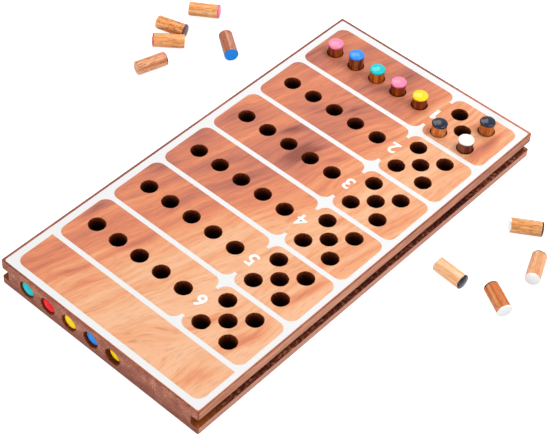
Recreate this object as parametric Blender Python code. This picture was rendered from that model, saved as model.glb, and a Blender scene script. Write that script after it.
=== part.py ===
"""Code-breaking peg game: a drilled hardwood board with its dowel pegs.

Metres, +Z up. The origin is the middle of the board's underside. Y runs along
the board, from the title end (-Y) to the end with row 1 (+Y).
"""

import math

import bmesh
import bpy
from mathutils import Matrix, Vector

for old in list(bpy.data.objects):
    bpy.data.objects.remove(old, do_unlink=True)

# Board
BOARD_WIDTH = 0.131
BOARD_THICKNESS = 0.0165
CORNER_RADIUS = 0.001
CORNER_STEPS = 3
EDGE_EASE = 0.0006

# Side grooves, sawn the full length, that the rails of a storage case could run in
GROOVE_DEPTH = 0.0048
GROOVE_HEIGHT = 0.0062
LOWER_LIP = 0.0046

# Rows of holes, counted from the far end. Row 1 stands a little nearer to row 2
# than the others do to each other, and the near end keeps room for a title.
ROW_COUNT = 6
FAR_MARGIN = 0.025
ROW_ONE_PITCH = 0.035
ROW_PITCH = 0.036
TITLE_MARGIN = 0.048
BOARD_LENGTH = FAR_MARGIN + ROW_ONE_PITCH + (ROW_COUNT - 2) * ROW_PITCH + TITLE_MARGIN

# Code holes, a line of five in each row, counted from the left edge
CODE_COUNT = 5
CODE_MARGIN = 0.0162
CODE_PITCH = 0.0147

# Key holes, five in each row set out like the five on a die
KEY_MARGIN = 0.027
KEY_SPREAD_X = 0.0087
KEY_SPREAD_Y = 0.0091
KEY_PATTERN_SHARES = ((0, 0), (-1, -1), (-1, 1), (1, -1), (1, 1))

# Secret holes, bored into the near end at half the board's thickness
SECRET_MARGIN = 0.0176
SECRET_PITCH = 0.0146

# Dowel pegs, cut to length, with painted ends dipped in thick paint
PEG_DIAMETER = 0.008
PEG_LENGTH = 0.0185
PEG_CHAMFER = 0.0004
DIP_ROUND = 0.0008
DIP_STEPS = 2
CROWN = 0.0005
CODE_DIP = 0.0018
KEY_DIP = 0.0014
PEG_SIDES = 20

# Bores, made with a drill whose point leaves a shallow cone
HOLE_CLEARANCE = 0.00035
HOLE_DIAMETER = PEG_DIAMETER + HOLE_CLEARANCE + HOLE_CLEARANCE
HOLE_SIDES = 20
DRILL_POINT = 0.0009
HOLE_FLOOR = 0.0044
HOLE_DEPTH = BOARD_THICKNESS - HOLE_FLOOR - DRILL_POINT

# A seated peg stands this far clear of its bore's floor, and a hidden peg lies
# up to this far below the end face
SEAT_GAP = 0.0003
SECRET_RECESS = 0.0016

# Cutters run this far past the surface that they open
OVERRUN = 0.002
# Points nearer than this are one point
MERGE = 0.000001
FULL_TURN = math.tau
# Turns a peg or a drill that points down into one that enters the near end
SECRET_TURN = Matrix.Rotation(FULL_TURN / 4, 4, "X")

# Row 1: each peg's colour, and its bore's depth as a share of HOLE_DEPTH
ROW_ONE_CODE_SHARES = (("pink", 1.0), ("blue", 0.91), ("teal", 1.0), ("pink", 0.99), ("yellow", 1.0))
# Colour, side in X and in Y of the middle key hole, and depth share
ROW_ONE_KEY_SHARES = (("black", -1, -1, 1.03), ("black", 1, 1, 0.99), ("white", 1, -1, 1.03))
# The secret code: colour, and how deep the peg lies as a share of SECRET_RECESS
SECRET_SHARES = (("teal", 0.15), ("red", 0.1), ("yellow", 0.3), ("blue", 0.55), ("yellow", 1.0))

# Table room that a loose peg needs beside its neighbour: its width, and a
# quarter of its length for the turn between the two
PEG_ROOM = PEG_DIAMETER + PEG_LENGTH / 4
# Loose pegs: name, colour of the lower and the upper end, side of the board,
# how far out from that side and how far back from the far end as shares of
# PEG_ROOM, and the way from lower to upper end in degrees from +X
LOOSE_PEG_SHARES = (
    ("loose_peg_pink", None, "pink", -1, 5.44, 3.05, 35.2),
    ("loose_peg_blue", None, "blue", -1, 3.05, 4.06, -35.4),
    ("loose_peg_plum", None, "plum", -1, 5.68, 4.9, 16.4),
    ("loose_peg_red_1", None, "red", -1, 5.16, 5.71, 220.8),
    ("loose_peg_red_2", None, "red", -1, 4.62, 7.28, 72.9),
    ("loose_key_peg_1", "white", "black", 1, 2.55, 3.65, 33.0),
    ("loose_key_peg_2", "white", "black", 1, 1.87, 7.73, -3.2),
    ("loose_key_peg_3", "black", "white", 1, 4.01, 7.48, -28.7),
    ("loose_key_peg_4", "black", "white", 1, 4.12, 5.14, -66.5),
)

COLOURS = {
    "pink": (0.93, 0.21, 0.34),
    "blue": (0.03, 0.26, 0.80),
    "teal": (0.02, 0.52, 0.42),
    "yellow": (0.94, 0.68, 0.01),
    "red": (0.90, 0.04, 0.06),
    "plum": (0.12, 0.06, 0.10),
    "black": (0.01, 0.01, 0.015),
    "white": (0.90, 0.90, 0.88),
}
BOARD_WOOD = (0.62, 0.29, 0.14)
PEG_WOOD = (0.72, 0.37, 0.15)


def material(name, colour, roughness):
    """Give a Principled material, made once for each name."""
    found = bpy.data.materials.get(name)
    if found:
        return found
    made = bpy.data.materials.new(name)
    made.use_nodes = True
    shader = made.node_tree.nodes["Principled BSDF"]
    shader.inputs["Base Color"].default_value = (*colour, 1)
    shader.inputs["Roughness"].default_value = roughness
    shader.inputs["Metallic"].default_value = 0
    return made


def wood(name, colour):
    return material(name, colour, roughness=0.55)


def lacquer(colour):
    return material("lacquer_" + colour, COLOURS[colour], roughness=0.2)


def new_object(name, bm, materials):
    """Close a bmesh into a named, smooth-shaded object."""
    mesh = bpy.data.meshes.new(name)
    bm.to_mesh(mesh)
    bm.free()
    for item in materials:
        mesh.materials.append(item)
    mesh.shade_smooth()
    mesh.set_sharp_from_angle(angle=math.radians(30))
    made = bpy.data.objects.new(name, mesh)
    bpy.context.collection.objects.link(made)
    return made


def turned(profile, sides):
    """Spin a profile of (radius, height) points into a closed solid."""
    bm = bmesh.new()
    verts = [bm.verts.new((radius, 0, height)) for radius, height in profile]
    edges = [bm.edges.new(pair) for pair in zip(verts, verts[1:])]
    bmesh.ops.spin(
        bm,
        geom=verts + edges,
        cent=(0, 0, 0),
        axis=(0, 0, 1),
        angle=FULL_TURN,
        steps=sides,
        use_merge=True,
    )
    bmesh.ops.remove_doubles(bm, verts=bm.verts, dist=MERGE)
    bmesh.ops.recalc_face_normals(bm, faces=bm.faces)
    return bm


# Pegs: cut dowel, an end either chamfered bare or crowned by its dip


def end_profile(dip):
    """Points of one end, from its middle to the full diameter, as (radius, depth)."""
    radius = PEG_DIAMETER / 2
    if not dip:
        return [(0, 0), (radius - PEG_CHAMFER, 0), (radius, PEG_CHAMFER)]
    points = [(0, 0)]
    for step in range(DIP_STEPS + 1):
        lean = FULL_TURN / 4 * step / DIP_STEPS
        across = radius - DIP_ROUND + DIP_ROUND * math.sin(lean)
        down = CROWN + DIP_ROUND - DIP_ROUND * math.cos(lean)
        points.append((across, down))
    points.append((radius, dip))
    return points


def peg(name, lower_colour, upper_colour):
    """A dowel peg that stands on the origin, its upper end at +Z."""
    dip = KEY_DIP if lower_colour else CODE_DIP
    lower = end_profile(dip if lower_colour else 0)
    upper = [(across, PEG_LENGTH - down) for across, down in end_profile(dip)]
    bm = turned(lower + upper[::-1], PEG_SIDES)
    materials = [wood("peg_wood", PEG_WOOD), lacquer(upper_colour)]
    if lower_colour:
        materials.append(lacquer(lower_colour))
    for face in bm.faces:
        middle = face.calc_center_median().z
        if middle > PEG_LENGTH - dip:
            face.material_index = 1
        elif lower_colour and middle < dip:
            face.material_index = 2
    return new_object(name, bm, materials)


# Board: slab with eased edges, then one cutter for its grooves and bores


def slab():
    size = Vector((BOARD_WIDTH, BOARD_LENGTH, BOARD_THICKNESS))
    place = Matrix.Translation((0, 0, BOARD_THICKNESS / 2)) @ Matrix.Diagonal((*size, 1))
    bm = bmesh.new()
    bmesh.ops.create_cube(bm, size=1, matrix=place)
    corners = [edge for edge in bm.edges if is_upright(edge)]
    bmesh.ops.bevel(
        bm, geom=corners, offset=CORNER_RADIUS, segments=CORNER_STEPS, profile=0.5, affect="EDGES"
    )
    rims = [edge for edge in bm.edges if not is_upright(edge)]
    bmesh.ops.bevel(bm, geom=rims, offset=EDGE_EASE, segments=1, profile=0.5, affect="EDGES")
    return new_object("board", bm, [wood("board_wood", BOARD_WOOD)])


def is_upright(edge):
    along = edge.verts[0].co - edge.verts[1].co
    return abs(along.z) > abs(along.x) + abs(along.y)


def bore_cutter(depth):
    """A drill's sweep, its mouth on the origin and its point down -Z."""
    radius = HOLE_DIAMETER / 2
    profile = [(0, -depth - DRILL_POINT), (radius, -depth), (radius, OVERRUN), (0, OVERRUN)]
    return turned(profile, HOLE_SIDES)


def groove_cutter(side):
    size = (GROOVE_DEPTH + OVERRUN, BOARD_LENGTH + OVERRUN + OVERRUN, GROOVE_HEIGHT)
    reach = BOARD_WIDTH / 2 - GROOVE_DEPTH + size[0] / 2
    place = Matrix.Translation((side * reach, 0, LOWER_LIP + GROOVE_HEIGHT / 2))
    bm = bmesh.new()
    bmesh.ops.create_cube(bm, size=1, matrix=place @ Matrix.Diagonal((*size, 1)))
    return bm


def join_into(whole, part, place):
    """Add a placed bmesh to another and free it."""
    bmesh.ops.transform(part, matrix=place, verts=part.verts)
    piece = bpy.data.meshes.new("piece")
    part.to_mesh(piece)
    part.free()
    whole.from_mesh(piece)
    bpy.data.meshes.remove(piece)


def row_y(row):
    """Rows count from 0, and all but the first are set out from the near end."""
    if row == 0:
        return BOARD_LENGTH / 2 - FAR_MARGIN
    return -BOARD_LENGTH / 2 + TITLE_MARGIN + (ROW_COUNT - 1 - row) * ROW_PITCH


def code_place(row, column):
    x = -BOARD_WIDTH / 2 + CODE_MARGIN + column * CODE_PITCH
    return Vector((x, row_y(row), BOARD_THICKNESS))


def key_place(row, side_x, side_y):
    x = BOARD_WIDTH / 2 - KEY_MARGIN + side_x * KEY_SPREAD_X
    return Vector((x, row_y(row) + side_y * KEY_SPREAD_Y, BOARD_THICKNESS))


def secret_place(column):
    x = -BOARD_WIDTH / 2 + SECRET_MARGIN + column * SECRET_PITCH
    return Vector((x, -BOARD_LENGTH / 2, BOARD_THICKNESS / 2))


def secret_depth(recess_share):
    return SECRET_RECESS * recess_share + PEG_LENGTH + SEAT_GAP


def drilled_board():
    board = slab()
    cuts = bmesh.new()
    for side in (-1, 1):
        join_into(cuts, groove_cutter(side), Matrix())
    for row in range(ROW_COUNT):
        for column in range(CODE_COUNT):
            share = ROW_ONE_CODE_SHARES[column][1] if row == 0 else 1
            place = Matrix.Translation(code_place(row, column))
            join_into(cuts, bore_cutter(HOLE_DEPTH * share), place)
        filled = {key[1:3]: key[3] for key in ROW_ONE_KEY_SHARES} if row == 0 else {}
        for sides in KEY_PATTERN_SHARES:
            share = filled.get(sides, 1)
            place = Matrix.Translation(key_place(row, *sides))
            join_into(cuts, bore_cutter(HOLE_DEPTH * share), place)
    for column, (colour, share) in enumerate(SECRET_SHARES):
        place = Matrix.Translation(secret_place(column)) @ SECRET_TURN
        join_into(cuts, bore_cutter(secret_depth(share)), place)
    cutter = new_object("cutter", cuts, [])
    cutter.hide_render = True
    cutter.display_type = "WIRE"
    boring = board.modifiers.new("bores_and_grooves", "BOOLEAN")
    boring.operation = "DIFFERENCE"
    boring.solver = "EXACT"
    boring.object = cutter
    return board


def seat(piece, mouth, turn, depth):
    """Stand a peg on the floor of a bore, SEAT_GAP clear of it."""
    piece.matrix_world = Matrix.Translation(mouth) @ turn @ Matrix.Translation((0, 0, SEAT_GAP - depth))


drilled_board()

for column, (colour, share) in enumerate(ROW_ONE_CODE_SHARES):
    piece = peg(f"code_peg_{column + 1}_{colour}", None, colour)
    seat(piece, code_place(0, column), Matrix(), HOLE_DEPTH * share)

for number, (colour, side_x, side_y, share) in enumerate(ROW_ONE_KEY_SHARES):
    other = "black" if colour == "white" else "white"
    piece = peg(f"key_peg_{number + 1}_{colour}", other, colour)
    seat(piece, key_place(0, side_x, side_y), Matrix(), HOLE_DEPTH * share)

for column, (colour, share) in enumerate(SECRET_SHARES):
    piece = peg(f"secret_peg_{column + 1}_{colour}", None, colour)
    seat(piece, secret_place(column), SECRET_TURN, secret_depth(share))

for name, lower_colour, upper_colour, side, out_share, back_share, degrees in LOOSE_PEG_SHARES:
    piece = peg(name, lower_colour, upper_colour)
    x = side * (BOARD_WIDTH / 2 + out_share * PEG_ROOM)
    y = BOARD_LENGTH / 2 - back_share * PEG_ROOM
    lying = Matrix.Rotation(math.radians(degrees), 4, "Z") @ Matrix.Rotation(FULL_TURN / 4, 4, "Y")
    place = Matrix.Translation((x, y, PEG_DIAMETER / 2)) @ lying
    piece.matrix_world = place @ Matrix.Translation((0, 0, -PEG_LENGTH / 2))
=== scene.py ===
# %% [markdown]
# # A code-breaking peg game in hardwood
# The real thing is one drilled board and a handful of dowel pegs with dipped
# ends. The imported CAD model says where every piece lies. This lesson loads it
# as a fixed frame, models a finer board, print and peg round each CAD solid, and
# gives each surface the wood or paint that the real one shows.

# %% Load the frame
import math

import bmesh
import bpy
from mathutils import Matrix, Vector, noise


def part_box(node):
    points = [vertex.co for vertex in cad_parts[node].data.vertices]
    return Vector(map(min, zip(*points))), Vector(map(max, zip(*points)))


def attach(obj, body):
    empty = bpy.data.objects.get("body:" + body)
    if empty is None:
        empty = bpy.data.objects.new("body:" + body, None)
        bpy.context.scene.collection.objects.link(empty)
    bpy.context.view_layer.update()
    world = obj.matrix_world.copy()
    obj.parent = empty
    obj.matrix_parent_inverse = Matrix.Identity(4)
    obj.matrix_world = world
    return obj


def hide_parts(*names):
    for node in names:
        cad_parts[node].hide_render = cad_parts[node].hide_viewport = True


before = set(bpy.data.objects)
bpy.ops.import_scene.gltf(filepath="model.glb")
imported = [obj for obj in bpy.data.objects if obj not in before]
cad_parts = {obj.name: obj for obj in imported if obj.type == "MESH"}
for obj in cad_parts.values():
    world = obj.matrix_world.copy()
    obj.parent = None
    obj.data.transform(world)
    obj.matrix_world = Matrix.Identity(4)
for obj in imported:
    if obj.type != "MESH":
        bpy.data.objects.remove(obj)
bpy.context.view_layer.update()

# %% [markdown]
# ## Sizes
# Overall sizes come from the CAD solids' boxes. The spacing of the holes repeats
# the drilling plan, in metres, because the frame holds the holes only as facets.

# %% Measure the frame
board_low, board_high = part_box("board")
BOARD_WIDTH, BOARD_TOP = board_high.x - board_low.x, board_high.z
peg_low, peg_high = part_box("code_peg_1_pink")
PEG_RADIUS = (peg_high.x - peg_low.x) / 2
# A hair short, so that the rounder model stays inside the facets
LENGTH_SPARE = 0.00008
PEG_LENGTH = peg_high.z - peg_low.z - LENGTH_SPARE
print("board", [round(1000 * size, 1) for size in board_high - board_low], "mm")
print("peg", round(2000 * PEG_RADIUS, 2), "by", round(1000 * PEG_LENGTH, 2), "mm")

# %% The drilling plan
ROW_PITCH = 0.036
FAR_MARGIN, NEAR_MARGIN = 0.025, 0.048
CODE_MARGIN, CODE_PITCH = 0.0162, 0.0147
KEY_MARGIN = 0.027
KEY_SPREAD = (0.0087, 0.0091)
KEY_PATTERN = ((0, 0), (-1, -1), (-1, 1), (1, -1), (1, 1))
SECRET_MARGIN, SECRET_PITCH = 0.0176, 0.0146
HOLE_CLEARANCE = 0.00035
BORE_DEPTH, SECRET_DEPTH = 0.0112, 0.0204
BORE_RADIUS = PEG_RADIUS + HOLE_CLEARANCE
ROW_SIX_Y = board_low.y + NEAR_MARGIN
ROW_YS = [board_high.y - FAR_MARGIN] + [ROW_SIX_Y + step * ROW_PITCH for step in (4, 3, 2, 1, 0)]
CODE_XS = [board_low.x + CODE_MARGIN + step * CODE_PITCH for step in range(5)]
KEY_X = board_high.x - KEY_MARGIN
SECRET_XS = [board_low.x + SECRET_MARGIN + step * SECRET_PITCH for step in range(5)]
top_mouths = [Vector((x, y, BOARD_TOP)) for y in ROW_YS for x in CODE_XS]
top_mouths += [
    Vector((KEY_X + across * KEY_SPREAD[0], y + along * KEY_SPREAD[1], BOARD_TOP))
    for y in ROW_YS
    for across, along in KEY_PATTERN
]
end_mouths = [Vector((x, board_low.y, BOARD_TOP / 2)) for x in SECRET_XS]
print(len(top_mouths), "bores in the top,", len(end_mouths), "in the near end")

# %% [markdown]
# ## Helpers for modelling by hand
# Blender's operators act on whatever is selected, so each helper first clears the
# selection. A finished piece keeps its place in its mesh and sits at the origin.


# %% Select and name
def only(*pieces):
    """Select these pieces alone, the first one active."""
    bpy.ops.object.select_all(action="DESELECT")
    for piece in pieces:
        piece.select_set(True)
    bpy.context.view_layer.objects.active = pieces[0]
    return pieces[0]


def named(name):
    """Name the primitive that was just added, with its place moved into its mesh."""
    piece = only(bpy.context.object)
    piece.name = piece.data.name = name
    bpy.ops.object.transform_apply(location=True, rotation=True, scale=True)
    return piece


def place(piece, matrix):
    """Move a piece, with its new place kept in its mesh."""
    only(piece)
    piece.matrix_world = matrix
    bpy.ops.object.transform_apply(location=True, rotation=True, scale=True)
    return piece


def copied(piece, matrix):
    """A copy with its own mesh, at another place."""
    twin = piece.copy()
    twin.data = piece.data.copy()
    bpy.context.scene.collection.objects.link(twin)
    return place(twin, matrix)


# %% Blocks and their edges
def block(name, low, high):
    """A box between two corners."""
    low, high = Vector(low), Vector(high)
    bpy.ops.object.select_all(action="DESELECT")
    bpy.ops.mesh.primitive_cube_add(size=1, location=(low + high) / 2, scale=high - low)
    return named(name)


def on_edges(piece, wanted, operator, **settings):
    """Run an edit-mode operator on the edges that a test picks."""
    only(piece)
    bpy.ops.object.mode_set(mode="EDIT")
    bpy.ops.mesh.select_mode(type="EDGE")
    bpy.ops.mesh.select_all(action="DESELECT")
    mesh = bmesh.from_edit_mesh(piece.data)
    for edge in mesh.edges:
        edge.select_set(wanted(edge))
    bmesh.update_edit_mesh(piece.data)
    operator(**settings)
    bpy.ops.object.mode_set(mode="OBJECT")


def is_upright(edge):
    along = edge.verts[0].co - edge.verts[1].co
    return abs(along.z) > abs(along.x) + abs(along.y)


def is_lengthwise(edge):
    along = edge.verts[0].co - edge.verts[1].co
    return abs(along.y) > abs(along.x) + abs(along.z)


# %% Cut and smooth
def cut(piece, cutters, operation="DIFFERENCE"):
    """Take all the cutters out of a piece, or add them, with one exact Boolean, and delete them."""
    cutter = only(*cutters)
    if len(cutters) > 1:
        bpy.ops.object.join()
    only(piece)
    boolean = piece.modifiers.new("cut", "BOOLEAN")
    boolean.operation = operation
    boolean.solver = "EXACT"
    boolean.material_mode = "TRANSFER"
    boolean.object = cutter
    bpy.ops.object.modifier_apply(modifier=boolean.name)
    bpy.data.objects.remove(cutter, do_unlink=True)
    return piece


def smooth(piece, degrees=35):
    only(piece)
    bpy.ops.object.shade_smooth_by_angle(angle=math.radians(degrees))


def turned(name, rings, sides):
    """Build a round piece from the bottom up, through rings of (radius, height), as a lathe would."""
    radius, height = rings[0]
    bpy.ops.object.select_all(action="DESELECT")
    bpy.ops.mesh.primitive_circle_add(
        vertices=sides, radius=radius, fill_type="NGON", location=(0, 0, height)
    )
    piece = named(name)
    bpy.ops.object.mode_set(mode="EDIT")
    bpy.ops.mesh.select_all(action="SELECT")
    for next_radius, next_height in rings[1:]:
        bpy.ops.mesh.extrude_region_move(TRANSFORM_OT_translate={"value": (0, 0, next_height - height)})
        share = next_radius / radius
        bpy.ops.transform.resize(value=(share, share, 1), center_override=(0, 0, next_height))
        radius, height = next_radius, next_height
    bpy.ops.mesh.select_all(action="SELECT")
    bpy.ops.mesh.normals_make_consistent(inside=False)
    bpy.ops.object.mode_set(mode="OBJECT")
    return piece


# %% [markdown]
# ## Helpers for materials
# Colours are written as sRGB hex, as a colour picker reads them off a picture,
# and shaders want linear values. A pattern's scale in Blender is a number of
# features per metre, so it is worked out from the feature's real size.


# %% Colours and scales
def linear(hex_colour):
    """sRGB hex to linear red, green, blue and alpha."""
    values = [int(hex_colour[start : start + 2], 16) / 255 for start in (1, 3, 5)]
    return [v / 12.92 if v <= 0.04045 else ((v + 0.055) / 1.055) ** 2.4 for v in values] + [1]


def per_metre(feature_mm):
    return 1000 / feature_mm


# %% Nodes
MIX_COLOURS = {"factor": 0, "first": 6, "second": 7, "out": 2}


def feed(owner, node, inputs):
    """Set a node's inputs: another node's output is linked, and a value is written."""
    for name, value in inputs.items():
        if isinstance(value, bpy.types.NodeSocket):
            owner.node_tree.links.new(value, node.inputs[name])
        else:
            node.inputs[name].default_value = value


def add_node(owner, kind, inputs, out=0, stops=(), **settings):
    """Add a node with its settings, inputs and colour stops, and return one of its outputs."""
    node = owner.node_tree.nodes.new(kind)
    for name, value in settings.items():
        setattr(node, name, value)
    feed(owner, node, inputs)
    if stops:
        elements = node.color_ramp.elements
        elements.remove(elements[1])
        elements[0].position, elements[0].color = stops[0][0], linear(stops[0][1])
        for position, colour in stops[1:]:
            elements.new(position).color = linear(colour)
    return node.outputs[out]


def new_material(name):
    """An empty material and its Principled shader."""
    material = bpy.data.materials.new(name)
    material.use_nodes = True
    return material, material.node_tree.nodes["Principled BSDF"]


# %% [markdown]
# ## The board's wood
# It is a plain-sawn tropical hardwood of the rain tree kind, planed, sanded and
# lightly oiled. Its sapwood side is a pale peach and its heart side a redder
# brown, with mauve heartwood streaks that lean across the length like the tree
# did. The pattern is built in grain space: across the leaning grain, along it at a
# fourteenth of the scale, and down. There, one noise gives streaks 8 mm wide, a
# finer one the growth lines, and the finest the open pores, which also dent it.
# The large smoky streaks are listed one by one, each as a soft
# stroke with a place, a length, a width and a lean, in millimetres.

# %% Strokes and palette
LEAN_LEFT, LEAN_RIGHT = 0.27, 0.10
LEAN_FROM, LEAN_TO = 0.005, 0.04
GRAIN_STRETCH = 14
WANDER, WANDER_MM = 0.014, 40
STREAK_MM, GROWTH_LINE_MM, PORE_MM = 8, 1.7, 0.5
SAPWOOD_FROM, SAPWOOD_TO, SAPWOOD_SPREAD = -0.010, 0.036, 0.046
HEART_TONE, SAPWOOD_TONE = 0.40, 0.83
FAR_DARKER, NEAR_PALER, RUBBED_DARKER = 0.06, 0.08, 0.5
RUBBED_FROM, RUBBED_TO = -0.0024, -0.0014
TONE_SHIFT = 0.72
PORE_COLOUR, PORE_SHOW = "#7A402C", 0.26
HEART_STROKES = (
    # x, y, half length, half width, lean, strength
    (-9, 114, 17, 6, 0.4, 0.26),
    (-54, 92, 16, 9, 0.3, 0.24),
    (-16, 94, 15, 5, 0.8, 0.20),
    (56, 99, 17, 4, 0.05, 0.50),
    (-25, 62, 17, 5, 0.62, 0.34),
    (-33, 56, 13, 4, 0.6, 0.22),
    (-56, 52, 12, 7, 0.6, 0.24),
    (-12, 73, 12, 5, 0.6, 0.22),
    (-25, 40, 15, 5, 0.8, 0.34),
    (-9, 29, 19, 10, 0.3, 0.36),
    (-2, 26, 14, 4, -0.1, 0.22),
    (-51, 29, 20, 10, 0.5, 0.36),
    (7, 38, 10, 3, 1.0, 0.18),
    (-57, 3, 14, 6, 0.2, 0.30),
    (-36, -2, 22, 4, 0.45, 0.20),
    (-20, -7, 24, 6, 0.35, 0.28),
    (-9, -16, 14, 5, 0.3, 0.20),
    (17, -7, 6, 3, 0.1, 0.34),
    (37, 8, 8, 5, 0.8, 0.30),
    (-57, -28, 12, 7, 0.3, 0.24),
    (-30, -36, 24, 4, 0.15, 0.20),
    (-16, -34, 20, 5, 0.15, 0.14),
    (2, -38, 24, 4, 0.15, -0.16),
    (-57, -70, 15, 5, 0.1, 0.50),
    (-31, -70, 18, 4, 0.25, 0.18),
    (55, -43, 20, 4, 0.3, 0.34),
    (54, -77, 22, 5, 0.3, 0.38),
    (31, -88, 14, 4, 0.4, 0.24),
    (-37, -108, 16, 3, 0.35, 0.30),
    (-25, -105, 16, 3, 0.35, 0.24),
    (54, -110, 16, 5, 0.4, 0.34),
)
WOOD_TONES = (
    (0.00, "#8C4A3A"),
    (0.18, "#AE6655"),
    (0.36, "#C4745A"),
    (0.54, "#D5805D"),
    (0.68, "#E19066"),
    (0.85, "#E7A67A"),
    (1.00, "#EBB48D"),
)


# %% Face wood
def heart_strokes(material, place):
    """Add up the smoky strokes, each a soft ellipse round its own place."""
    total = 0.0
    for x, y, length, width, lean, strength in HEART_STROKES:
        stroke = add_node(
            material,
            "ShaderNodeMapping",
            {
                "Vector": place,
                "Location": (x / 1000, y / 1000, 0),
                "Rotation": (0, 0, -math.atan(lean)),
                "Scale": (width / 1000, length / 1000, 1),
            },
            vector_type="TEXTURE",
        )
        soft = add_node(
            material, "ShaderNodeTexGradient", {"Vector": stroke}, out="Fac", gradient_type="SPHERICAL"
        )
        total = add_node(
            material, "ShaderNodeMath", {0: soft, 1: strength, 2: total}, operation="MULTIPLY_ADD"
        )
    return total


def face_wood(name):
    material, shader = new_material(name)
    spot = add_node(material, "ShaderNodeTexCoord", {}, out="Object")
    parts = add_node(material, "ShaderNodeSeparateXYZ", {"Vector": spot}).node.outputs
    x, y, z = parts["X"], parts["Y"], parts["Z"]
    lean = add_node(
        material,
        "ShaderNodeMapRange",
        {"Value": x, "From Min": LEAN_FROM, "From Max": LEAN_TO, "To Min": LEAN_LEFT, "To Max": LEAN_RIGHT},
        interpolation_type="SMOOTHSTEP",
    )
    slide = add_node(material, "ShaderNodeMath", {0: lean, 1: y}, operation="MULTIPLY")
    wander = add_node(
        material, "ShaderNodeTexNoise", {"Vector": spot, "Scale": per_metre(WANDER_MM), "Detail": 1.5}
    )
    bend = add_node(
        material, "ShaderNodeMath", {0: wander, 1: WANDER, 2: -WANDER / 2}, operation="MULTIPLY_ADD"
    )
    bent_x = add_node(material, "ShaderNodeMath", {0: x, 1: bend}, operation="ADD")
    across = add_node(material, "ShaderNodeMath", {0: bent_x, 1: slide}, operation="SUBTRACT")
    along = add_node(material, "ShaderNodeMath", {0: y, 1: 1 / GRAIN_STRETCH}, operation="MULTIPLY")
    grain = add_node(material, "ShaderNodeCombineXYZ", {"X": across, "Y": along, "Z": z})
    figure = add_node(
        material,
        "ShaderNodeTexNoise",
        {"Vector": grain, "Scale": per_metre(STREAK_MM), "Detail": 3.0, "Roughness": 0.6, "Distortion": 0.5},
    )
    lines = add_node(
        material,
        "ShaderNodeTexNoise",
        {"Vector": grain, "Scale": per_metre(GROWTH_LINE_MM), "Detail": 3.0, "Roughness": 0.65},
    )
    pores = add_node(
        material, "ShaderNodeTexNoise", {"Vector": grain, "Scale": per_metre(PORE_MM), "Detail": 1.0}
    )
    # Sapwood on the key side, which comes further over in the near rows
    spread = add_node(
        material,
        "ShaderNodeMapRange",
        {"Value": y, "From Min": 0.02, "From Max": -0.10, "To Max": SAPWOOD_SPREAD},
    )
    reach = add_node(material, "ShaderNodeMath", {0: bent_x, 1: spread}, operation="ADD")
    pale = add_node(
        material,
        "ShaderNodeMapRange",
        {
            "Value": reach,
            "From Min": SAPWOOD_FROM,
            "From Max": SAPWOOD_TO,
            "To Min": HEART_TONE,
            "To Max": SAPWOOD_TONE,
        },
        interpolation_type="SMOOTHSTEP",
    )
    # The far end is darker and the near end paler
    far = add_node(
        material,
        "ShaderNodeMapRange",
        {"Value": y, "From Min": 0.080, "From Max": 0.090, "To Max": FAR_DARKER},
        interpolation_type="SMOOTHSTEP",
    )
    near = add_node(
        material,
        "ShaderNodeMapRange",
        {"Value": y, "From Min": -0.015, "From Max": -0.050, "To Max": NEAR_PALER},
        interpolation_type="SMOOTHSTEP",
    )
    # The bare margin outside the print is rubbed dark
    out_x = add_node(material, "ShaderNodeMath", {0: x}, operation="ABSOLUTE")
    out_y = add_node(material, "ShaderNodeMath", {0: y}, operation="ABSOLUTE")
    past_x = add_node(material, "ShaderNodeMath", {0: out_x, 1: board_high.x}, operation="SUBTRACT")
    past_y = add_node(material, "ShaderNodeMath", {0: out_y, 1: board_high.y}, operation="SUBTRACT")
    past = add_node(material, "ShaderNodeMath", {0: past_x, 1: past_y}, operation="MAXIMUM")
    rubbed = add_node(
        material,
        "ShaderNodeMapRange",
        {"Value": past, "From Min": RUBBED_FROM, "From Max": RUBBED_TO, "To Max": RUBBED_DARKER},
    )
    place_on_top = add_node(material, "ShaderNodeCombineXYZ", {"X": bent_x, "Y": y})
    heart = heart_strokes(material, place_on_top)
    # The smoky strokes show most where the figure is dark too
    smoke = add_node(
        material,
        "ShaderNodeMapRange",
        {"Value": figure, "From Min": 0.3, "From Max": 0.7, "To Min": 1.5, "To Max": 0.5},
    )
    tone = add_node(material, "ShaderNodeMath", {0: pale, 1: far}, operation="SUBTRACT")
    tone = add_node(material, "ShaderNodeMath", {0: tone, 1: near}, operation="ADD")
    tone = add_node(material, "ShaderNodeMath", {0: tone, 1: rubbed}, operation="SUBTRACT")
    dark = add_node(material, "ShaderNodeMath", {0: heart, 1: smoke}, operation="MULTIPLY")
    tone = add_node(material, "ShaderNodeMath", {0: tone, 1: dark}, operation="SUBTRACT")
    tone = add_node(material, "ShaderNodeMath", {0: figure, 1: 1.0, 2: tone}, operation="MULTIPLY_ADD")
    tone = add_node(material, "ShaderNodeMath", {0: lines, 1: 0.5, 2: tone}, operation="MULTIPLY_ADD")
    tone = add_node(material, "ShaderNodeMath", {0: tone, 1: TONE_SHIFT}, operation="SUBTRACT")
    ground = add_node(material, "ShaderNodeValToRGB", {"Fac": tone}, stops=WOOD_TONES)
    pore = add_node(
        material,
        "ShaderNodeMapRange",
        {"Value": pores, "From Min": 0.56, "From Max": 0.70, "To Min": 0.0, "To Max": PORE_SHOW},
    )
    colour = add_node(
        material,
        "ShaderNodeMix",
        {
            MIX_COLOURS["factor"]: pore,
            MIX_COLOURS["first"]: ground,
            MIX_COLOURS["second"]: linear(PORE_COLOUR),
        },
        out=MIX_COLOURS["out"],
        data_type="RGBA",
    )
    dents = add_node(
        material, "ShaderNodeBump", {"Height": pores, "Strength": 0.25, "Distance": 0.0001}, invert=True
    )
    feed(
        material,
        shader,
        {"Base Color": colour, "Normal": dents, "Roughness": 0.6, "IOR": 1.45, "Specular IOR Level": 0.3},
    )
    return material


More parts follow.
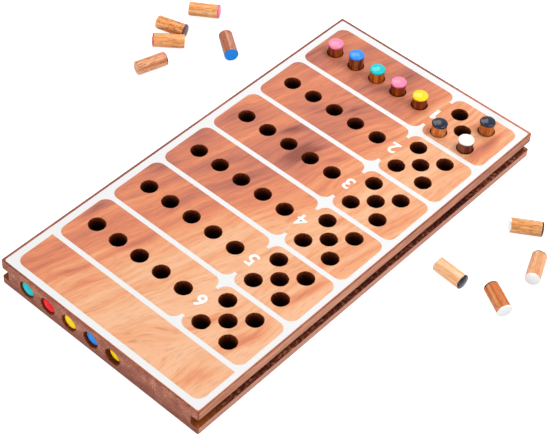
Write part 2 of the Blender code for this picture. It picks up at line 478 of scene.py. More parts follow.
board_wood = face_wood("oiled_rain_tree_wood")
print(board_wood.name, len(board_wood.node_tree.nodes), "nodes")

# %% [markdown]
# ## End grain, edges, sawn groove and drilled wall
# The same wood looks darker wherever its fibres are cut across, because the open
# cells drink the oil and hold no light. The end faces show the cells as fine pale
# dots on a red brown, and the eased edges are darker, as painted shade. The long
# sides are sanded and pinker than the top, most of all their lower lips, and the
# end faces carry painted shade that darkens towards the table. The groove is
# rough, its tones darkened as painted shade in the recess, with painted light as a
# warmer brown at the near end, where light comes in at the open end. The bores
# carry painted shade, darker the deeper they go.


# %% Cut surfaces
# The mottle under the cells is this many times coarser than they are
MOTTLE_COARSER = 8

def cut_wood(name, tones, cell_mm, stretch, relief, roughness, blotch=0.8, fade=None):
    """Wood cut across or torn: cells on a mottled ground, which fades to a colour along an axis if asked."""
    material, shader = new_material(name)
    spot = add_node(material, "ShaderNodeTexCoord", {}, out="Object")
    run = add_node(
        material, "ShaderNodeMapping", {"Vector": spot, "Scale": stretch}, vector_type="TEXTURE"
    )
    cells = add_node(
        material,
        "ShaderNodeTexNoise",
        {"Vector": run, "Scale": per_metre(cell_mm), "Detail": 2.0, "Roughness": 0.65},
    )
    mottle = add_node(
        material,
        "ShaderNodeTexNoise",
        {"Vector": run, "Scale": per_metre(cell_mm * MOTTLE_COARSER), "Detail": 3.0},
    )
    tone = add_node(material, "ShaderNodeMath", {0: mottle, 1: blotch, 2: cells}, operation="MULTIPLY_ADD")
    tone = add_node(material, "ShaderNodeMath", {0: tone, 1: 1 + blotch}, operation="DIVIDE")
    colour = add_node(material, "ShaderNodeValToRGB", {"Fac": tone}, stops=tones)
    if fade:
        axis, start, end, most, last = fade
        parts = add_node(material, "ShaderNodeSeparateXYZ", {"Vector": spot}).node.outputs
        share = add_node(
            material,
            "ShaderNodeMapRange",
            {"Value": parts[axis], "From Min": start, "From Max": end, "To Min": 0.0, "To Max": most},
            interpolation_type="SMOOTHSTEP",
        )
        colour = add_node(
            material,
            "ShaderNodeMix",
            {MIX_COLOURS["factor"]: share, MIX_COLOURS["first"]: colour, MIX_COLOURS["second"]: linear(last)},
            out=MIX_COLOURS["out"],
            data_type="RGBA",
        )
    torn = add_node(material, "ShaderNodeBump", {"Height": cells, "Strength": 0.6, "Distance": relief})
    feed(
        material,
        shader,
        {
            "Base Color": colour,
            "Normal": torn,
            "Roughness": roughness,
            "IOR": 1.45,
            "Specular IOR Level": 0.2,
        },
    )
    return material


# The end faces fade darker towards the table: painted shade.
end_grain = cut_wood(
    "sanded_end_grain",
    ((0.38, "#663022"), (0.47, "#905240"), (0.54, "#A6644E"), (0.64, "#E0A48C")),
    cell_mm=0.5,
    stretch=(1, 1, 1),
    relief=0.0002,
    roughness=0.6,
    blotch=0.35,
    fade=("Z", 0.011, 0.0, 0.65, "#703A30"),
)
# The eased edges are darker than the face, as painted shade.
edge_wood_shaded = cut_wood(
    "eased_edge_painted_shade",
    ((0.36, "#6E3A2C"), (0.5, "#8C503E"), (0.64, "#A9694F")),
    cell_mm=0.9,
    stretch=(1, 6, 1),
    relief=0.0001,
    roughness=0.6,
)
side_wood = cut_wood(
    "sanded_side_wood",
    ((0.36, "#A8664E"), (0.5, "#C88266"), (0.64, "#E4A284")),
    cell_mm=1.0,
    stretch=(1, 14, 1),
    relief=0.0001,
    roughness=0.6,
    fade=("Z", 0.009, 0.004, 0.5, "#E6AA98"),
)
# The groove's dark tones are painted shade in the recess. Its fade to a warmer brown at the near end is
# painted light, where the open end lets light in.
groove_wood_shaded = cut_wood(
    "groove_wood_painted_shade_and_light",
    ((0.38, "#34100A"), (0.5, "#60281A"), (0.58, "#8A4A30"), (0.68, "#BC805C")),
    cell_mm=1.5,
    stretch=(1, 1.4, 1.6),
    relief=0.0005,
    roughness=0.8,
    blotch=0.5,
    fade=("Y", -0.098, -0.126, 0.6, "#A85818"),
)


# %% Drilled wall
# The bore tones run from a lit rim to painted shade deep down.
BORE_SHADE_TONES = ((0.0, "#8C4A2A"), (0.2, "#642C16"), (0.45, "#441A0C"), (0.9, "#1E0805"))
SHADE_HEART, SHADE_SAPWOOD = 1.3, 0.8
SHADE_MM, TURN_MM = 10, 0.9
TURN_SHOW, SHADE_SHIFT = 1.2, 0.46


def drilled_wall(name):
    """Bore wall with painted shade that darkens with depth. Depth is how far a point is from the top or the
    near end, whichever is less.
    """
    material, shader = new_material(name)
    spot = add_node(material, "ShaderNodeTexCoord", {}, out="Object")
    parts = add_node(material, "ShaderNodeSeparateXYZ", {"Vector": spot}).node.outputs
    below_top = add_node(material, "ShaderNodeMath", {0: BOARD_TOP, 1: parts["Z"]}, operation="SUBTRACT")
    past_end = add_node(material, "ShaderNodeMath", {0: parts["Y"], 1: board_low.y}, operation="SUBTRACT")
    depth = add_node(material, "ShaderNodeMath", {0: below_top, 1: past_end}, operation="MINIMUM")
    turns = add_node(
        material,
        "ShaderNodeTexNoise",
        {"Vector": spot, "Scale": per_metre(TURN_MM), "Detail": 2.0, "Roughness": 0.7},
    )
    # The painted shade is stronger on the heart side than on the sapwood side
    shade_scale = add_node(
        material,
        "ShaderNodeMapRange",
        {
            "Value": parts["X"],
            "From Min": -0.03,
            "From Max": 0.04,
            "To Min": SHADE_HEART,
            "To Max": SHADE_SAPWOOD,
        },
    )
    share = add_node(material, "ShaderNodeMath", {0: depth, 1: per_metre(SHADE_MM)}, operation="MULTIPLY")
    share = add_node(material, "ShaderNodeMath", {0: share, 1: shade_scale}, operation="MULTIPLY")
    share = add_node(material, "ShaderNodeMath", {0: turns, 1: TURN_SHOW, 2: share}, operation="MULTIPLY_ADD")
    share = add_node(material, "ShaderNodeMath", {0: share, 1: SHADE_SHIFT}, operation="SUBTRACT")
    colour = add_node(material, "ShaderNodeValToRGB", {"Fac": share}, stops=BORE_SHADE_TONES)
    torn = add_node(material, "ShaderNodeBump", {"Height": turns, "Strength": 0.5, "Distance": 0.0002})
    feed(
        material,
        shader,
        {"Base Color": colour, "Normal": torn, "Roughness": 0.6, "IOR": 1.45, "Specular IOR Level": 0.05},
    )
    return material


bore_wall_shaded = drilled_wall("bore_wood_painted_shade")

# %% [markdown]
# ## The board
# The blank is a block whose corners and edges are rounded over. One shape is
# turned for the drill, with a softened mouth and a shallow brad point, and copied
# to every hole, where each copy's mouth is nicked a little differently, as torn
# fibres are. The groove's cutter is a long block whose inner face is rippled
# before it cuts, so the curved marks that a groove cutter leaves are real relief.

# %% The blank
CORNER_RADIUS, EDGE_RADIUS = 0.001, 0.0006
board = block("drilled_board", board_low, board_high)
on_edges(board, is_upright, bpy.ops.mesh.bevel, offset=CORNER_RADIUS, segments=4, affect="EDGES")
on_edges(
    board,
    lambda edge: not is_upright(edge),
    bpy.ops.mesh.bevel,
    offset=EDGE_RADIUS,
    segments=3,
    affect="EDGES",
)
board.data.materials.append(board_wood)
print("blank:", len(board.data.polygons), "faces")

# %% The drill
BORE_SIDES = 40
TOP_MOUTH_ROUND, END_MOUTH_ROUND = 0.0003, 0.0006
BRAD_POINT = 0.0009
OVERRUN = 0.001
NICK = 0.0002
NICK_GRAIN, NICK_VARIETY = 700, 900
NICK_START, NICK_LEAST = 0.1, -0.2


def drill(depth, mouth):
    """The drill's sweep, its rounded mouth at the origin and its point down."""
    rings = [(BORE_RADIUS / 8, -depth - BRAD_POINT), (BORE_RADIUS, -depth)]
    for share in (0, 0.4, 0.75):
        lean = math.pi / 2 * share
        rings.append((BORE_RADIUS + mouth * (1 - math.cos(lean)), -mouth * (1 - math.sin(lean))))
    rings.append((BORE_RADIUS + mouth, 0))
    rings.append((BORE_RADIUS + mouth + OVERRUN, OVERRUN))
    bit = turned("drill", rings, BORE_SIDES)
    bit.data.materials.append(bore_wall_shaded)
    return bit


def bored(bit, matrix):
    """One sweep of the drill, its mouth nicked in its own way."""
    sweep = copied(bit, Matrix())
    for vertex in sweep.data.vertices:
        if vertex.co.z > -TOP_MOUTH_ROUND * 1.01:
            around = Vector((vertex.co.x, vertex.co.y, 0))
            tear = noise.noise(around * NICK_GRAIN + matrix.translation * NICK_VARIETY)
            vertex.co += around.normalized() * NICK * max(tear - NICK_START, NICK_LEAST)
    return place(sweep, matrix)


top_bit, end_bit = drill(BORE_DEPTH, TOP_MOUTH_ROUND), drill(SECRET_DEPTH, END_MOUTH_ROUND)
INTO_END = Matrix.Rotation(math.pi / 2, 4, "X")
cutters = [bored(top_bit, Matrix.Translation(mouth)) for mouth in top_mouths]
cutters += [bored(end_bit, Matrix.Translation(mouth) @ INTO_END) for mouth in end_mouths]
for bit in (top_bit, end_bit):
    bpy.data.objects.remove(bit, do_unlink=True)
print(len(cutters), "bores to cut")

# %% The grooves
GROOVE_LOW, GROOVE_HIGH, GROOVE_DEPTH = 0.0046, 0.0108, 0.0048
CUTTER_MARK_RADIUS, CUTTER_MARK_PITCH, CUTTER_MARK_DEPTH = 0.006, 0.0026, 0.00028
CUTS_ALONG, CUTS_UP = 560, 9
# A point nearer than this to the cutter's inner face lies on it
ON_FACE = 1e-5


def groove_relief(y, z):
    """How far the groove's back stands out: curved marks, stronger in some stretches."""
    height = (z - (GROOVE_LOW + GROOVE_HIGH) / 2) / CUTTER_MARK_RADIUS
    arc = CUTTER_MARK_RADIUS * math.sqrt(max(1 - height * height, 0))
    stretch = noise.noise(Vector((y * 60, 0, 3)))
    wave = math.sin(2 * math.pi * (y + arc * (1 if stretch > 0 else -1)) / CUTTER_MARK_PITCH)
    tear = noise.noise(Vector((y * 900, z * 700, 7)))
    return CUTTER_MARK_DEPTH * (0.5 + 0.3 * wave * (0.4 + abs(stretch) * 2) + 0.5 * tear)


for side in (-1, 1):
    inner, outer = side * (BOARD_WIDTH / 2 - GROOVE_DEPTH), side * (BOARD_WIDTH / 2 + OVERRUN)
    saw = block(
        "groove_cutter",
        (min(inner, outer), board_low.y - OVERRUN, GROOVE_LOW),
        (max(inner, outer), board_high.y + OVERRUN, GROOVE_HIGH),
    )
    on_edges(saw, is_lengthwise, bpy.ops.mesh.subdivide, number_cuts=CUTS_ALONG)
    on_edges(saw, is_upright, bpy.ops.mesh.subdivide, number_cuts=CUTS_UP)
    for vertex in saw.data.vertices:
        if abs(vertex.co.x - inner) < ON_FACE:
            vertex.co.x += side * groove_relief(vertex.co.y, vertex.co.z)
    saw.data.materials.append(groove_wood_shaded)
    cutters.append(saw)
cut(board, cutters)
print("board:", len(board.data.polygons), "faces")

# %% Finish the board
FLAT_SIDE, FLAT_TOP = 0.95, 0.98
FACE_SLOT = board.data.materials.find(board_wood.name)
for material in (end_grain, side_wood, edge_wood_shaded):
    board.data.materials.append(material)
END_SLOT, SIDE_SLOT, EDGE_SLOT = (len(board.data.materials) - count for count in (3, 2, 1))
for face in board.data.polygons:
    if face.material_index != FACE_SLOT:
        continue
    if abs(face.normal.y) > FLAT_SIDE:
        face.material_index = END_SLOT
    elif abs(face.normal.x) > FLAT_SIDE:
        face.material_index = SIDE_SLOT
    elif abs(face.normal.z) < FLAT_TOP:
        face.material_index = EDGE_SLOT
smooth(board, 30)
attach(board, "board")
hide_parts("board")
print("materials:", [material.name for material in board.data.materials])

# %% [markdown]
# ## The white print
# The border and the panel outlines are screen printed in one coat of white ink.
# It is modelled as a sheet about as thin as ink: a block with a window cut for
# each panel, one for the code, one for the key, and the waist that joins the two.


# %% White ink
def screen_ink(name):
    """Opaque matt ink. It dips a little where the pores drink it, which keeps it from looking plastic."""
    material, shader = new_material(name)
    spot = add_node(material, "ShaderNodeTexCoord", {}, out="Object")
    run = add_node(
        material, "ShaderNodeMapping", {"Vector": spot, "Scale": (1, 8, 1)}, vector_type="TEXTURE"
    )
    drunk = add_node(material, "ShaderNodeTexNoise", {"Vector": run, "Scale": per_metre(0.8), "Detail": 3.0})
    colour = add_node(
        material, "ShaderNodeValToRGB", {"Fac": drunk}, stops=((0.3, "#F8F4F1"), (0.55, "#FEFDFC"))
    )
    dents = add_node(material, "ShaderNodeBump", {"Height": drunk, "Strength": 0.3, "Distance": 0.00005})
    feed(
        material,
        shader,
        {"Base Color": colour, "Normal": dents, "Roughness": 0.6, "Specular IOR Level": 0.1},
    )
    return material


white_ink = screen_ink("white_screen_ink")

# %% Ink sheet and windows
INK_SUNK, INK_PROUD = 0.00003, 0.00006
INK_LOW, INK_HIGH = BOARD_TOP - INK_SUNK, BOARD_TOP + INK_PROUD
BARE_LEFT, BARE_RIGHT, BARE_NEAR, BARE_FAR = 0.0017, 0.001, 0.001, 0.0019
PRINT_ROUND = 0.0012
FAR_BORDER, NEAR_BORDER = 0.0062, 0.0046
LINE = 0.0028
WINDOW_ROUND = 0.005
WINDOW_LEFT, WINDOW_RIGHT = board_low.x + 0.0056, board_high.x - 0.0041
CODE_RIGHT, KEY_LEFT = 0.0199, 0.0218
PRINT_DROP = 0.0003
WAIST = 0.0225


def window(x_range, y_range, rounded=is_upright):
    """A cutter through the ink, with the picked corners rounded."""
    pane = block(
        "window", (x_range[0], y_range[0], INK_LOW - OVERRUN), (x_range[1], y_range[1], INK_HIGH + OVERRUN)
    )
    if rounded:
        on_edges(pane, rounded, bpy.ops.mesh.bevel, offset=WINDOW_ROUND, segments=10, affect="EDGES")
    return pane


ink = block(
    "white_print",
    (board_low.x + BARE_LEFT, board_low.y + BARE_NEAR, INK_LOW),
    (board_high.x - BARE_RIGHT, board_high.y - BARE_FAR, INK_HIGH),
)
on_edges(ink, is_upright, bpy.ops.mesh.bevel, offset=PRINT_ROUND, segments=5, affect="EDGES")
print_rows = [y - PRINT_DROP for y in ROW_YS[1:]]
panels = [(print_rows[0] + (ROW_PITCH + LINE) / 2, board_high.y - FAR_BORDER)]
panels += [(y - (ROW_PITCH - LINE) / 2, y + (ROW_PITCH - LINE) / 2) for y in print_rows]
panes, waists = [], []
for low, high in panels:
    middle = (low + high) / 2
    panes.append(window((WINDOW_LEFT, CODE_RIGHT), (low, high)))
    panes.append(window((KEY_LEFT, WINDOW_RIGHT), (low, high)))
    waist_ends = (middle - WAIST / 2, middle + WAIST / 2)
    waists.append(window((CODE_RIGHT - LINE, KEY_LEFT + LINE), waist_ends, None))
title_low, title_high = board_low.y + NEAR_BORDER, print_rows[-1] - (ROW_PITCH + LINE) / 2
panes.append(
    window(
        (WINDOW_LEFT, WINDOW_RIGHT),
        (title_low, title_high),
        lambda edge: is_upright(edge) and edge.verts[0].co.y < (title_low + title_high) / 2,
    )
)
cut(ink, panes)
cut(ink, waists)
ink.data.materials.append(white_ink)
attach(ink, "board")
print("ink:", len(panels), "row windows and the title window,", len(ink.data.polygons), "faces")

# %% Numerals
NUMERAL_HEIGHT = 0.008
NUMERAL_X = 0.0206
FONT_BOLDER = 0.018


def plain_one():
    """A bar with a flag, because the font's own 1 has hardly any flag. Sizes are shares of its height."""
    bar = block("numeral_1", (-0.13, 0, -0.5), (0.13, 1, 0.5))
    flag = block("flag", (-0.13, -0.22, -0.5), (0.13, 0.16, 0.5))
    flag_place = Matrix.Translation((-0.04, 0.87, 0)) @ Matrix.Rotation(math.radians(-55), 4, "Z")
    return cut(bar, [place(flag, flag_place)], "UNION")


def font_digit(number):
    bpy.ops.object.select_all(action="DESELECT")
    bpy.ops.object.text_add()
    text = bpy.context.object.data
    text.body = str(number)
    text.offset = FONT_BOLDER
    text.extrude = 0.5
    bpy.ops.object.convert(target="MESH")
    return named(f"numeral_{number}")


for number, y in enumerate(ROW_YS, start=1):
    digit = plain_one() if number == 1 else font_digit(number)
    lows = Vector([min(vertex.co[axis] for vertex in digit.data.vertices) for axis in range(3)])
    highs = Vector([max(vertex.co[axis] for vertex in digit.data.vertices) for axis in range(3)])
    share = NUMERAL_HEIGHT / (highs.y - lows.y)
    size = Matrix.Diagonal((share, share, (INK_HIGH - INK_LOW) / (highs.z - lows.z), 1))
    spot = Matrix.Translation((NUMERAL_X, y, (INK_LOW + INK_HIGH) / 2)) @ Matrix.Rotation(math.pi, 4, "Z")
    place(digit, spot @ size @ Matrix.Translation(-(lows + highs) / 2))
    digit.data.materials.clear()
    digit.data.materials.append(white_ink)
    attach(digit, "board")
print("numerals:", len(ROW_YS))

# %% [markdown]
# ## Pegs
# A peg is a length of dowel cut off square, with its end dipped in thick gloss
# paint. The dowel is turned with a small chamfer on a bare end and stops inside a
# painted one. The paint is a cap, domed on top, whose lower edge wanders as a
# dip's edge does. On the pegs in the board it bulges a fifth of a millimetre past
# the dowel, and on the loose ones only a few hundredths. Its colour is full on
# the end and darker up the side, as painted shade.


# %% Dowel wood
def dowel_wood(name, tones, fleck, flecks):
    """Straight-grained dowel, oiled. Streaks run the peg's own length, which an attribute keeps."""
    material, shader = new_material(name)
    grain = add_node(material, "ShaderNodeAttribute", {}, out="Vector", attribute_name="dowel_grain")
    run = add_node(
        material, "ShaderNodeMapping", {"Vector": grain, "Scale": (1, 1, 18)}, vector_type="TEXTURE"
    )
    figure = add_node(
        material,
        "ShaderNodeTexNoise",
        {"Vector": run, "Scale": per_metre(2.3), "Detail": 3.0, "Roughness": 0.6, "Distortion": 0.4},
    )
    short = add_node(
        material, "ShaderNodeMapping", {"Vector": grain, "Scale": (1, 1, 5)}, vector_type="TEXTURE"
    )
    pores = add_node(
        material, "ShaderNodeTexNoise", {"Vector": short, "Scale": per_metre(0.65), "Detail": 1.0}
    )
    ground = add_node(material, "ShaderNodeValToRGB", {"Fac": figure}, stops=tones)
    mask = add_node(
        material,
        "ShaderNodeMapRange",
        {"Value": pores, "From Min": 0.54, "From Max": 0.64, "To Min": 0.0, "To Max": flecks},
    )
    colour = add_node(
        material,
        "ShaderNodeMix",
        {MIX_COLOURS["factor"]: mask, MIX_COLOURS["first"]: ground, MIX_COLOURS["second"]: linear(fleck)},
        out=MIX_COLOURS["out"],
        data_type="RGBA",
    )
    dents = add_node(
        material, "ShaderNodeBump", {"Height": pores, "Strength": 0.3, "Distance": 0.0001}, invert=True
    )
    feed(
        material,
        shader,
        {"Base Color": colour, "Normal": dents, "Roughness": 0.38, "IOR": 1.5, "Specular IOR Level": 0.3},
    )
    return material


STREAK_STOPS = (0.35, 0.5, 0.65)
DOWEL_TONES = {
    # Streaks from dark to pale, the flecks' colour, and how strongly the flecks show
    "red_brown": (("#4E1C02", "#762702", "#9C4C10"), "#300E02", 0.6),
    "umber": (("#542006", "#7C340A", "#9C5220"), "#2A0E03", 0.6),
    "dark_red": (("#502214", "#74361F", "#904C30"), "#2C110A", 0.5),
    "amber": (("#8E4004", "#B45206", "#D48230"), "#562204", 0.55),
    "honey": (("#AC5C22", "#CC6C2C", "#E09660"), "#7A380C", 0.5),
    "streaky": (("#BC6C30", "#E09858", "#FAC494"), "#8A4A18", 0.5),
    "orange": (("#D07C34", "#EC9E5A", "#FAC896"), "#A0541C", 0.45),
    "pale_tan": (("#E6A066", "#F4BA8A", "#FAD0A6"), "#C8864A", 0.35),
    "peach": (("#D28E5C", "#E8A474", "#F6BE94"), "#B4703C", 0.4),
    "speckled": (("#D07C34", "#EC9E5A", "#FAC896"), "#74300C", 0.85),
    "rosy": (("#8E4C30", "#B26848", "#D08C6C"), "#6A301C", 0.5),
    "flecked": (("#CC8054", "#E8A274", "#F4BC98"), "#7A3418", 0.7),
}
DOWEL_WOODS = {
    name: dowel_wood(f"{name}_dowel", tuple(zip(STREAK_STOPS, tones)), fleck, flecks)
    for name, (tones, fleck, flecks) in DOWEL_TONES.items()
}
print("dowel woods:", list(DOWEL_WOODS))


# %% Gloss paints
def gloss_enamel(name, end_colour, shaded_side_colour, shine=0.3, roughness=0.12):
    """Brushing enamel: full colour on the end, a darker colour up the side as painted shade, and rippled."""
    material, shader = new_material(name)
    grain = add_node(material, "ShaderNodeAttribute", {}, out="Vector", attribute_name="dowel_grain")
    lit_end_share = add_node(material, "ShaderNodeAttribute", {}, out="Fac", attribute_name="paint_lit_end_share")
    ripple = add_node(
        material, "ShaderNodeTexNoise", {"Vector": grain, "Scale": per_metre(2.5), "Detail": 2.0}
    )
    depth = add_node(material, "ShaderNodeMath", {0: ripple, 1: 0.5, 2: lit_end_share}, operation="MULTIPLY_ADD")
    # The colour darkens down the side of the cap: painted shade.
    colour = add_node(
        material, "ShaderNodeValToRGB", {"Fac": depth}, stops=((0.35, shaded_side_colour), (0.85, end_colour))
    )
    dents = add_node(material, "ShaderNodeBump", {"Height": ripple, "Strength": 0.3, "Distance": 0.0003})
    feed(
        material,
        shader,
        {
            "Base Color": colour,
            "Normal": dents,
            "Roughness": roughness,
            "IOR": 1.5,
            "Specular IOR Level": shine,
        },
    )
    return material


# Each paint's colour on the end, then a darker one for up the side, which is painted shade.
ENAMELS = {
    "pink": ("#F487AC", "#DC5A84"),
    "red": ("#F01028", "#B0142A"),
    "blue": ("#2290F0", "#0A68CC"),
    "teal": ("#06C6CC", "#04A09A"),
    "yellow": ("#FFD812", "#EEB406"),
    "plum": ("#5E4A55", "#4A3943"),
    "black": ("#1A1E34", "#0E1120"),
    "white": ("#FBFBFC", "#F0F0F2"),
}
PAINTS = {name: gloss_enamel(f"{name}_enamel", *tones) for name, tones in ENAMELS.items()}
# The ends that are pushed in and out of the board's bores have lost most of their shine
for name in ("teal", "red", "yellow", "blue"):
    PAINTS[f"worn {name}"] = gloss_enamel(f"{name}_enamel_worn", *ENAMELS[name], shine=0.06, roughness=0.3)
print("paints:", list(PAINTS))

# %% Turn and dip a peg
PEG_SIDES = 48
PAINT_THICKNESS = 0.00004
WOOD_RADIUS = PEG_RADIUS - PAINT_THICKNESS
CHAMFER, CROWN, DIP_ROUND = 0.0004, 0.0005, 0.0008
DIP_WAVE = 0.0006
BULGE = 0.00022


def dip_shape(depth):
    """Crown height and edge rounding of a dip: a thin dip is flatter."""
    share = min(1, 0.93 * depth / (CROWN + DIP_ROUND))
    return CROWN * share, DIP_ROUND * share


def dowel(name, foot, top):
    """Wood from foot to top. A foot at zero is bare and chamfered, and the top is inside the paint."""
    rings = [(WOOD_RADIUS, foot)]
    if foot == 0:
        rings = [(WOOD_RADIUS - CHAMFER, 0), (WOOD_RADIUS, CHAMFER)]
    return turned(name, rings + [(WOOD_RADIUS, top)], PEG_SIDES)


def paint_cap(name, depth, seed, bulge):
    """A dipped end, its crown at the origin. The paint bulges past the radius of the peg below it."""
    crown, rounding = dip_shape(depth)
    radius = PEG_RADIUS + bulge
    rings = [
        (WOOD_RADIUS - PAINT_THICKNESS, -depth),
        (radius - PAINT_THICKNESS / 4, -depth + PAINT_THICKNESS),
        (radius, -depth + 4 * PAINT_THICKNESS),
    ]
    for share in (0, 0.25, 0.5, 0.75, 1):
        lean = math.pi / 2 * share
        rings.append((radius - rounding * (1 - math.cos(lean)), -crown - rounding * (1 - math.sin(lean))))
    shoulder = radius - rounding
    rings += [(shoulder * share, -crown * share * share) for share in (0.8, 0.6, 0.4, 0.2, 0.05)]
    cap = turned(name, rings, PEG_SIDES)
    for vertex in cap.data.vertices:
        if vertex.co.z < -depth + 5 * PAINT_THICKNESS:
            around = Vector((vertex.co.x, vertex.co.y, 0)).normalized()
            vertex.co.z += DIP_WAVE * noise.noise(around * 1.2 + Vector((seed, 0, 0)))
    # How far up the cap a corner lies, which the enamel turns into painted shade down the side.
    lit_end_share = cap.data.attributes.new("paint_lit_end_share", "FLOAT", "POINT")
    for vertex, value in zip(cap.data.vertices, lit_end_share.data):
        value.value = min(max(1 + vertex.co.z / depth, 0), 1)
    return cap


# %% Set a peg
ENDS = (Matrix.Translation((0, 0, PEG_LENGTH)), Matrix.Rotation(math.pi, 4, "X"))


def keep_grain(piece, seed):
    """Store where each corner lies in the dowel, a new stretch of dowel for each peg."""
    grain = piece.data.attributes.new("dowel_grain", "FLOAT_VECTOR", "POINT")
    for vertex, value in zip(piece.data.vertices, grain.data):
        value.vector = vertex.co + Vector((0.013 * seed, 0.007 * seed, 0.05 * seed))


def make_peg(node, wood, paints, dip_mm, turn, seed, bulge=0.0):
    """Make a peg, turn it and centre it on its CAD solid: paints names its upper, then its lower end."""
    dip = dip_mm / 1000
    inside = sum(dip_shape(dip))
    pieces = [dowel(f"{node}_wood", inside if len(paints) == 2 else 0, PEG_LENGTH - inside)]
    pieces[0].data.materials.append(DOWEL_WOODS[wood])
    for paint, end in zip(paints, ENDS):
        cap = place(paint_cap(f"{node}_{paint.split()[-1]}_paint", dip, seed, bulge), end)
        cap.data.materials.append(PAINTS[paint])
        pieces.append(cap)
    for piece in pieces:
        keep_grain(piece, seed)
        place(piece, turn)
    spots = [vertex.co for piece in pieces for vertex in piece.data.vertices]
    along_axes = [[spot[axis] for spot in spots] for axis in range(3)]
    middle = Vector([(min(values) + max(values)) / 2 for values in along_axes])
    low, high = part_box(node)
    for piece in pieces:
        place(piece, Matrix.Translation((low + high) / 2 - middle))
        smooth(piece)
        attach(piece, node)
    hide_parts(node)
    return len(pieces)


# %% [markdown]
# Each peg's wood, its paint on the upper and then the lower end, how far up the
# paint comes in millimetres, and for the pegs that lie about, the way they point,
# in degrees from +X.

# %% Which peg is which
STANDING = {
    "code_peg_1_pink": ("red_brown", ("pink",), 2.0),
    "code_peg_2_blue": ("umber", ("blue",), 1.9),
    "code_peg_3_teal": ("amber", ("teal",), 1.8),
    "code_peg_4_pink": ("red_brown", ("pink",), 1.9),
    "code_peg_5_yellow": ("red_brown", ("yellow",), 1.9),
    "key_peg_1_black": ("honey", ("black", "white"), 1.4),
    "key_peg_2_black": ("honey", ("black", "white"), 1.4),
    "key_peg_3_white": ("dark_red", ("white", "black"), 1.4),
}
SECRET = {
    "secret_peg_1_teal": ("orange", ("worn teal",), 1.8),
    "secret_peg_2_red": ("orange", ("worn red",), 1.8),
    "secret_peg_3_yellow": ("red_brown", ("worn yellow",), 1.8),
    "secret_peg_4_blue": ("red_brown", ("worn blue",), 1.8),
    "secret_peg_5_yellow": ("orange", ("worn yellow",), 1.8),
}
LYING = {
    "loose_peg_pink": ("orange", ("pink",), 1.9, 35.2),
    "loose_peg_blue": ("rosy", ("worn blue",), 1.4, -35.4),
    "loose_peg_plum": ("speckled", ("plum",), 1.4, 16.4),
    "loose_peg_red_1": ("orange", ("red",), 1.2, 220.8),
    "loose_peg_red_2": ("flecked", ("red",), 1.2, 72.9),
    "loose_key_peg_1": ("streaky", ("black", "white"), 1.4, 33.0),
    "loose_key_peg_2": ("pale_tan", ("black", "white"), 1.4, -3.2),
    "loose_key_peg_3": ("honey", ("white", "black"), 1.4, -28.7),
    "loose_key_peg_4": ("peach", ("white", "black"), 1.4, -66.5),
}

# %% Set the pegs
made = 0
for node, (wood, paints, dip_mm) in STANDING.items():
    made += make_peg(node, wood, paints, dip_mm, Matrix(), seed=made, bulge=BULGE)
for node, (wood, paints, dip_mm) in SECRET.items():
    made += make_peg(node, wood, paints, dip_mm, INTO_END, seed=made, bulge=BULGE)
for node, (wood, paints, dip_mm, degrees) in LYING.items():
    lying = Matrix.Rotation(math.radians(degrees), 4, "Z") @ Matrix.Rotation(math.pi / 2, 4, "Y")
    made += make_peg(node, wood, paints, dip_mm, lying, seed=made)
print(made, "peg pieces")

# %% [markdown]
# ## Floor, light and camera
# A pale floor runs out of the picture. The large soft key light stands high behind
# the board's right side, where the shadows of the real pegs and the lit walls of
# the holes say it was. A window light comes from behind on the left, a wide fill
# stands low in front of the near end, and an even sky does the rest.


# %% Floor and sky
def looked_at(owner):
    """1 for a ray that the camera, a reflection or a view through glass sees, else 0."""
    rays = add_node(owner, "ShaderNodeLightPath", {}).node.outputs
    seen = add_node(
        owner, "ShaderNodeMath", {0: rays["Is Camera Ray"], 1: rays["Is Glossy Ray"]}, operation="MAXIMUM"
    )
    return add_node(owner, "ShaderNodeMath", {0: seen, 1: rays["Is Transmission Ray"]}, operation="MAXIMUM")


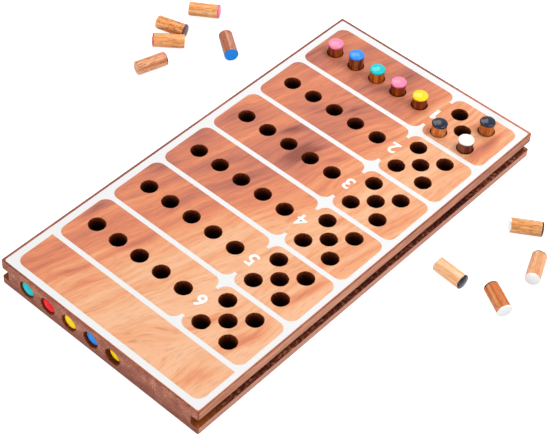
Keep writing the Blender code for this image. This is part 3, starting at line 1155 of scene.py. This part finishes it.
FLOOR_SIZE = 6
FLOOR_GLOW = 0.85
bpy.ops.object.select_all(action="DESELECT")
bpy.ops.mesh.primitive_plane_add(size=FLOOR_SIZE)
floor = named("studio_floor")
paper, shader = new_material("pale_paper_floor")
glow = add_node(paper, "ShaderNodeMath", {0: looked_at(paper), 1: FLOOR_GLOW}, operation="MULTIPLY")
feed(
    paper,
    shader,
    {
        "Base Color": linear("#CFCFCF"),
        "Roughness": 0.9,
        "Specular IOR Level": 0.0,
        "Emission Color": linear("#FFFFFF"),
        "Emission Strength": glow,
    },
)
floor.data.materials.append(paper)

SKY_STRENGTH = 0.42
sky = bpy.data.worlds.new("soft_sky")
bpy.context.scene.world = sky
sky.use_nodes = True
strength = add_node(
    sky, "ShaderNodeMapRange", {"Value": looked_at(sky), "To Min": SKY_STRENGTH, "To Max": 1.0}
)
feed(sky, sky.node_tree.nodes["Background"], {"Color": linear("#FFFFFF"), "Strength": strength})
print("floor and sky are ready")


# %% Lamps
def softbox(name, spot, size, watts):
    """A square soft light that faces the board."""
    bpy.ops.object.select_all(action="DESELECT")
    bpy.ops.object.light_add(type="AREA", location=spot)
    lamp = bpy.context.object
    lamp.name = name
    lamp.data.size = size
    lamp.data.energy = watts
    lamp.rotation_euler = (-Vector(spot)).to_track_quat("-Z", "Y").to_euler()


softbox("key_softbox", (0.40, 0.40, 0.95), size=0.6, watts=7.0)
softbox("back_window", (-0.48, 0.58, 0.80), size=0.5, watts=3.2)
softbox("front_fill", (0.10, -1.30, 0.30), size=0.9, watts=10.2)

# %% Camera
AIM = Vector((0.010082, -0.013808, 0.0165))
CAMERA_SPOT = Vector((0.369572, -0.452272, 0.621233))
CAMERA_ROLL = math.radians(3.758)
SENSOR_WIDTH, CAMERA_LENS = 36, 109.856
bpy.ops.object.select_all(action="DESELECT")
bpy.ops.object.camera_add(location=CAMERA_SPOT)
camera = bpy.context.object
look = (AIM - CAMERA_SPOT).to_track_quat("-Z", "Y").to_matrix().to_4x4()
camera.matrix_world = Matrix.Translation(CAMERA_SPOT) @ look @ Matrix.Rotation(CAMERA_ROLL, 4, "Z")
camera.data.sensor_width = SENSOR_WIDTH
camera.data.lens = CAMERA_LENS
bpy.context.scene.camera = camera
bpy.context.scene.view_settings.view_transform = "Standard"
print("camera", round((AIM - CAMERA_SPOT).length, 3), "m from its aim")
